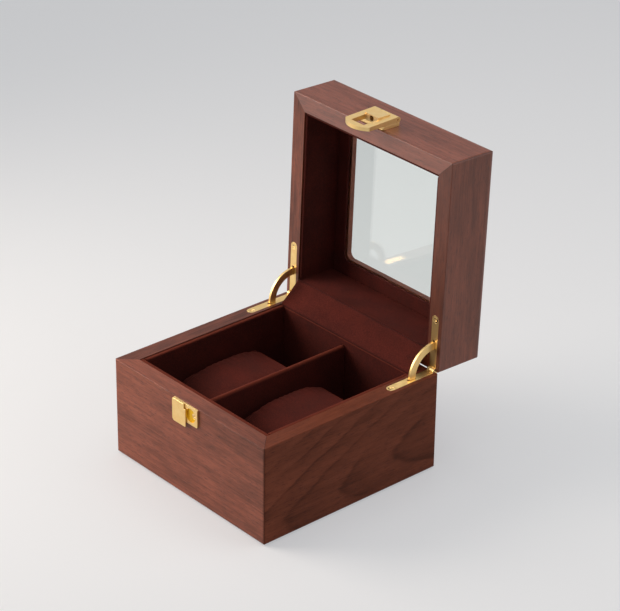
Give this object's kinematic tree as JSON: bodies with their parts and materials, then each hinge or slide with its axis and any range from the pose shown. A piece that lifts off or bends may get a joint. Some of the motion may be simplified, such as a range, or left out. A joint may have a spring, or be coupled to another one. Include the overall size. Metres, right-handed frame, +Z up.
{
  "type": "watch box",
  "caption": "Walnut watch box with a glazed hinged lid on quadrant hinges, a velvet-lined case parted for watch pillows, and a brass hasp with a sliding catch.",
  "frame": {"origin": "centre of the flat underside that the box stands on", "axes": "+X to the box's right, +Y to its hinged back, +Z up; the lid is stored open, as in the picture"},
  "size_m": [0.138, 0.1769, 0.2066],
  "materials": {
    "walnut": "satin lacquered straight-grained walnut",
    "lining_velvet": "short-pile dark red-brown velvet on board",
    "pillow_velvet": "short-pile dark red-brown velvet over soft filling",
    "felt": "pressed felt",
    "brass": "polished gold-coloured plating",
    "brass_screws": "plated countersunk screws",
    "window_glass": "clear flat glass"
  },
  "bodies": {
    "base": {"base_front_panel": "walnut", "base_back_panel": "walnut", "base_left_panel": "walnut", "base_right_panel": "walnut", "base_floor_board": "walnut", "base_felt_pad": "felt", "base_lining_front": "lining_velvet", "base_lining_back": "lining_velvet", "base_lining_left": "lining_velvet", "base_lining_right": "lining_velvet", "base_lining_floor": "lining_velvet", "compartment_divider": "lining_velvet", "left_hinge_base_leaf": "brass", "left_hinge_pin": "brass", "right_hinge_base_leaf": "brass", "right_hinge_pin": "brass", "base_hinge_screws": "brass_screws", "hinge_gusset": "lining_velvet", "catch_plate": "brass", "catch_screws": "brass_screws"},
    "lid": {"lid_front_panel": "walnut", "lid_back_panel": "walnut", "lid_left_panel": "walnut", "lid_right_panel": "walnut", "lid_top_board": "walnut", "window_glass": "window_glass", "window_retainer_frame": "lining_velvet", "lid_lining_front": "lining_velvet", "lid_lining_back": "lining_velvet", "lid_lining_left": "lining_velvet", "lid_lining_right": "lining_velvet", "left_hinge_lid_leaf": "brass", "right_hinge_lid_leaf": "brass", "lid_hinge_screws": "brass_screws", "hasp_bracket": "brass", "hasp_bracket_screws": "brass_screws", "hasp_pin": "brass"},
    "hasp": {"hasp_plate": "brass"},
    "catch_slide": {"catch_slide": "brass"},
    "left_stay": {"left_quadrant_stay": "brass"},
    "right_stay": {"right_quadrant_stay": "brass"},
    "left_pillow": {"left_watch_pillow": "pillow_velvet"},
    "right_pillow": {"right_watch_pillow": "pillow_velvet"}
  },
  "joints": [
    {"name": "lid_hinge", "type": "hinge", "parent": "base", "child": "lid", "pos_m": [0, 0.0675, 0.06515], "axis": [1, 0, 0], "range_deg": [0, 92], "deforming": ["hinge_gusset"]},
    {"name": "left_stay_turn", "type": "hinge", "parent": "base", "child": "left_stay", "pos_m": [-0.0635, 0.0675, 0.06515], "axis": [1, 0, 0], "range_deg": [0, 46]},
    {"name": "right_stay_turn", "type": "hinge", "parent": "base", "child": "right_stay", "pos_m": [0.0635, 0.0675, 0.06515], "axis": [1, 0, 0], "range_deg": [0, 46]},
    {"name": "hasp_swing", "type": "hinge", "parent": "lid", "child": "hasp", "pos_m": [-0.0006, 0.0849, 0.20373], "axis": [-1, 0, 0], "range_deg": [0, 110]},
    {"name": "catch_slide_travel", "type": "slide", "parent": "base", "child": "catch_slide", "axis": [1, 0, 0], "range_m": [0, 0.0034]},
    {"name": "left_pillow_lift", "type": "slide", "parent": "base", "child": "left_pillow", "axis": [0, 0, 1], "range_m": [0, 0.034]},
    {"name": "right_pillow_lift", "type": "slide", "parent": "base", "child": "right_pillow", "axis": [0, 0, 1], "range_m": [0, 0.034]}
  ],
  "couplings": [
    {"joint": "left_stay_turn", "follows": "lid_hinge", "ratio": 0.5},
    {"joint": "right_stay_turn", "follows": "lid_hinge", "ratio": 0.5}
  ]
}
